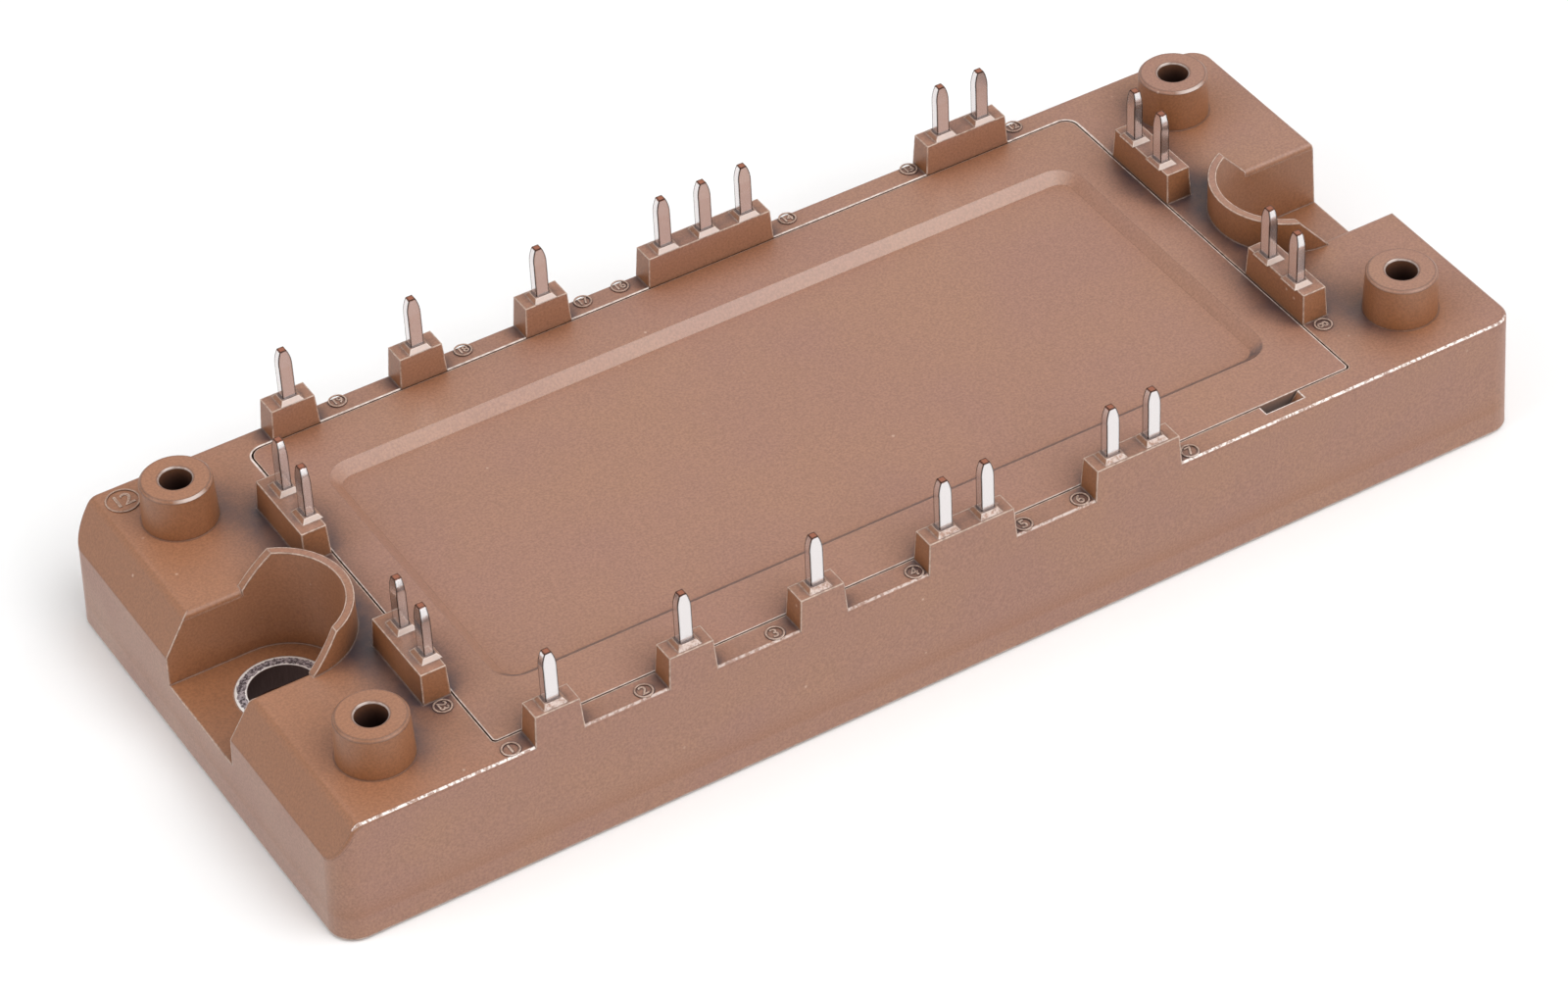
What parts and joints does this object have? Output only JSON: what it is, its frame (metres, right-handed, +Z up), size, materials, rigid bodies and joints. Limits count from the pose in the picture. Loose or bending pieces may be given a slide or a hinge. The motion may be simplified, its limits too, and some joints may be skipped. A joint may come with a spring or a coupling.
{
  "type": "igbt power module",
  "caption": "Flat power semiconductor module: brown moulded frame with a dished lid, tinned solder pins in raised blocks, four board posts and a screw pocket at each short end.",
  "frame": {"origin": "centre of the base plate's underside, the face that meets the heat sink", "axes": "+X along the long side, towards the end without the sloped edge; +Y across, towards the row of eight pins; +Z up, along the pins"},
  "size_m": [0.1076, 0.045, 0.0188],
  "materials": {
    "housing_plastic": "moulded, glass-filled polyester, tan brown",
    "lid_plastic": "moulded, glass-filled polyester, tan brown",
    "nickel_plated_copper": "nickel plated, satin",
    "zinc_plated_steel": "rolled strip, zinc plated",
    "tinned_copper": "tin plated, bare copper at the cut ends",
    "alumina_ceramic": "fired, matt white",
    "bare_copper": "etched copper, satin",
    "solder": "reflowed, satin grey",
    "silicon_chip": "aluminium-metallised silicon",
    "thermistor_ceramic": "dark ceramic with tinned ends",
    "aluminium_wire": "drawn, bright",
    "silicone_adhesive": "cured, dark grey"
  },
  "bodies": {
    "root": {"housing": "housing_plastic", "lid": "lid_plastic", "base_plate": "nickel_plated_copper", "bush_left": "zinc_plated_steel", "bush_right": "zinc_plated_steel", "adhesive_seal": "silicone_adhesive", "substrate_solder": "solder", "lower_copper": "bare_copper", "ceramic_left": "alumina_ceramic", "ceramic_right": "alumina_ceramic", "copper_tracks_left": "bare_copper", "copper_tracks_right": "bare_copper", "igbt_chips": "silicon_chip", "diode_chips": "silicon_chip", "rectifier_chips": "silicon_chip", "thermistor": "thermistor_ceramic", "bond_wires": "aluminium_wire", "terminal_01": "tinned_copper", "terminal_02": "tinned_copper", "terminal_03": "tinned_copper", "terminal_04": "tinned_copper", "terminal_05": "tinned_copper", "terminal_06": "tinned_copper", "terminal_07": "tinned_copper", "terminal_08": "tinned_copper", "terminal_09": "tinned_copper", "terminal_10": "tinned_copper", "terminal_11": "tinned_copper", "terminal_12": "tinned_copper", "terminal_13": "tinned_copper", "terminal_14": "tinned_copper", "terminal_15": "tinned_copper", "terminal_16": "tinned_copper", "terminal_17": "tinned_copper", "terminal_18": "tinned_copper", "terminal_19": "tinned_copper", "terminal_20": "tinned_copper", "terminal_21": "tinned_copper", "terminal_22": "tinned_copper", "terminal_23": "tinned_copper"}
  },
  "joints": []
}
